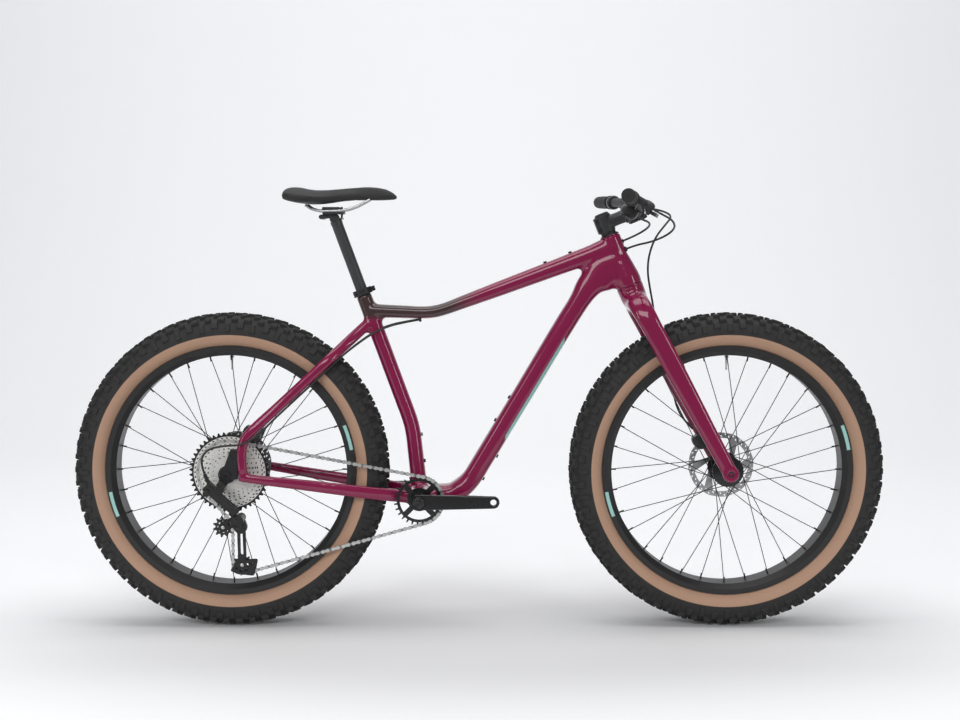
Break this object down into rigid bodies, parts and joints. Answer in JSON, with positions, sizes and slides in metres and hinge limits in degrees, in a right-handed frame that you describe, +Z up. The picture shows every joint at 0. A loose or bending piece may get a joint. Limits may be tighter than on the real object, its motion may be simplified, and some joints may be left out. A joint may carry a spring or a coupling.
{
  "type": "fat tire bike",
  "caption": "Rigid hardtail mountain bicycle with very wide tyres, swooping painted frame, straight-blade fork, disc brakes, single chainring and a wide-range cassette.",
  "frame": {"origin": "on the ground midway between the two wheel axles", "axes": "+X forward along the bike, +Y to the rider's left, +Z up; the chain runs on the -Y side"},
  "size_m": [1.9332, 0.7896, 1.0485],
  "materials": {
    "frame_paint": "gloss",
    "black_metal": "matte",
    "silver_metal": "satin",
    "steel": "brushed",
    "rubber": "matte",
    "tyre": "matte",
    "black_plastic": "matte",
    "saddle_cover": "matte"
  },
  "bodies": {
    "frame": {"head_tube": "frame_paint", "top_tube": "frame_paint", "down_tube": "frame_paint", "seat_tube": "frame_paint", "bottom_bracket_shell": "frame_paint", "chainstays": "frame_paint", "seatstays": "frame_paint", "dropouts": "black_metal", "rear_axle": "black_metal", "headset_bearings": "black_metal", "bottom_bracket_bearings": "silver_metal", "seat_collar": "black_metal", "frame_bolts": "black_metal", "rear_brake_caliper": "black_metal", "frame_cables": "rubber", "derailleur_mount": "black_metal", "chain": "silver_metal"},
    "steering": {"fork": "frame_paint", "front_axle": "black_metal", "headset_spacers": "black_metal", "stem": "black_metal", "stem_faceplate": "black_metal", "steering_bolts": "black_metal", "handlebar": "black_metal", "grips": "rubber", "brake_perches": "black_metal", "shifter_body": "black_plastic", "front_brake_caliper": "black_metal", "front_brake_hose": "rubber", "bar_cables": "rubber"},
    "front_wheel": {"front_tyre": "tyre", "front_rim": "black_metal", "front_spokes": "black_metal", "front_hub": "black_metal", "front_rotor": "steel"},
    "rear_wheel": {"rear_tyre": "tyre", "rear_rim": "black_metal", "rear_spokes": "black_metal", "rear_hub": "black_metal", "rear_rotor": "steel"},
    "cassette_body": {"cassette": "silver_metal", "freehub_body": "black_metal"},
    "crankset": {"crank_arm_right": "black_metal", "crank_arm_left": "black_metal", "crank_spindle": "black_metal", "chainring": "black_metal"},
    "outer_link": {"derailleur_outer_link": "black_metal"},
    "inner_link": {"derailleur_inner_link": "black_metal"},
    "knuckle": {"derailleur_knuckle": "black_plastic"},
    "cage": {"derailleur_cage": "black_metal"},
    "guide_wheel": {"guide_pulley": "black_plastic"},
    "tension_wheel": {"tension_pulley": "black_plastic"},
    "right_lever": {"brake_lever_right": "black_metal"},
    "left_lever": {"brake_lever_left": "black_metal"},
    "thumb_lever": {"shift_thumb_lever": "black_plastic"},
    "release_lever": {"shift_release_lever": "black_plastic"},
    "seat": {"seatpost": "black_metal", "saddle": "saddle_cover", "saddle_rails": "steel", "saddle_clamp": "black_metal"}
  },
  "joints": [
    {"name": "steering_turn", "type": "hinge", "parent": "frame", "child": "steering", "pos_m": [0.3577, 0, 0.81362], "axis": [-0.3746, 0, 0.9272], "range_deg": [-65, 65], "deforming": ["bar_cables"]},
    {"name": "front_wheel_spin", "type": "hinge", "parent": "steering", "child": "front_wheel", "pos_m": [0.5906, 0, 0.376], "axis": [0, 1, 0], "continuous": true},
    {"name": "rear_wheel_spin", "type": "hinge", "parent": "frame", "child": "rear_wheel", "pos_m": [-0.5906, 0, 0.376], "axis": [0, 1, 0], "continuous": true},
    {"name": "crank_spin", "type": "hinge", "parent": "frame", "child": "crankset", "pos_m": [-0.14167, 0, 0.3118], "axis": [0, 1, 0], "continuous": true, "deforming": ["chain"]},
    {"name": "cassette_spin", "type": "hinge", "parent": "frame", "child": "cassette_body", "pos_m": [-0.5906, 0, 0.376], "axis": [0, 1, 0], "continuous": true, "deforming": ["chain"]},
    {"name": "derailleur_shift", "type": "hinge", "parent": "frame", "child": "outer_link", "pos_m": [-0.6306, -0.136, 0.35], "axis": [0.729, 0, 0.6845], "range_deg": [-23.4, 2.7], "deforming": ["chain"]},
    {"name": "inner_link_turn", "type": "hinge", "parent": "frame", "child": "inner_link", "pos_m": [-0.6306, -0.116, 0.35], "axis": [0.729, 0, 0.6845], "range_deg": [-23.5, 2.8], "deforming": ["chain"]},
    {"name": "knuckle_turn", "type": "hinge", "parent": "outer_link", "child": "knuckle", "pos_m": [-0.5731, -0.10206, 0.28876], "axis": [0.729, 0, 0.6845], "range_deg": [-2.8, 23.5], "deforming": ["chain"]},
    {"name": "cage_swing", "type": "hinge", "parent": "knuckle", "child": "cage", "pos_m": [-0.56492, -0.066, 0.26764], "axis": [0, 1, 0], "range_deg": [-28, 8], "stiffness_Nm_per_rad": 0.6, "deforming": ["chain"]},
    {"name": "guide_pulley_spin", "type": "hinge", "parent": "cage", "child": "guide_wheel", "pos_m": [-0.60686, -0.05974, 0.24534], "axis": [0, 1, 0], "continuous": true, "deforming": ["chain"]},
    {"name": "tension_pulley_spin", "type": "hinge", "parent": "cage", "child": "tension_wheel", "pos_m": [-0.56257, -0.05974, 0.15501], "axis": [0, 1, 0], "continuous": true, "deforming": ["chain"]},
    {"name": "right_brake_pull", "type": "hinge", "parent": "steering", "child": "right_lever", "pos_m": [0.37738, -0.2444, 0.99323], "axis": [-0.4992, 0.0574, -0.8646], "range_deg": [0, 22], "stiffness_Nm_per_rad": 0.4, "springref_deg": -8.59},
    {"name": "left_brake_pull", "type": "hinge", "parent": "steering", "child": "left_lever", "pos_m": [0.37738, 0.2444, 0.99323], "axis": [0.4992, 0.0574, 0.8646], "range_deg": [0, 22], "stiffness_Nm_per_rad": 0.4, "springref_deg": -8.59},
    {"name": "shift_thumb_push", "type": "hinge", "parent": "steering", "child": "thumb_lever", "pos_m": [0.35733, -0.18034, 1.00906], "axis": [0.4992, -0.0574, 0.8646], "range_deg": [0, 35], "stiffness_Nm_per_rad": 0.2, "springref_deg": -8.59},
    {"name": "shift_release_pull", "type": "hinge", "parent": "steering", "child": "release_lever", "pos_m": [0.36356, -0.18541, 1.00513], "axis": [-0.4992, 0.0574, -0.8646], "range_deg": [0, 16], "stiffness_Nm_per_rad": 0.2, "springref_deg": -5.73},
    {"name": "seatpost_slide", "type": "slide", "parent": "frame", "child": "seat", "axis": [-0.3453, 0, 0.9385], "range_m": [-0.12, 0.06]}
  ],
  "couplings": [
    {"joint": "cassette_spin", "follows": "crank_spin", "ratio": 0.75676},
    {"joint": "guide_pulley_spin", "follows": "crank_spin", "ratio": -2.5455},
    {"joint": "tension_pulley_spin", "follows": "crank_spin", "ratio": 2.5455},
    {"joint": "inner_link_turn", "follows": "derailleur_shift", "ratio": 1},
    {"joint": "knuckle_turn", "follows": "derailleur_shift", "ratio": -1}
  ]
}
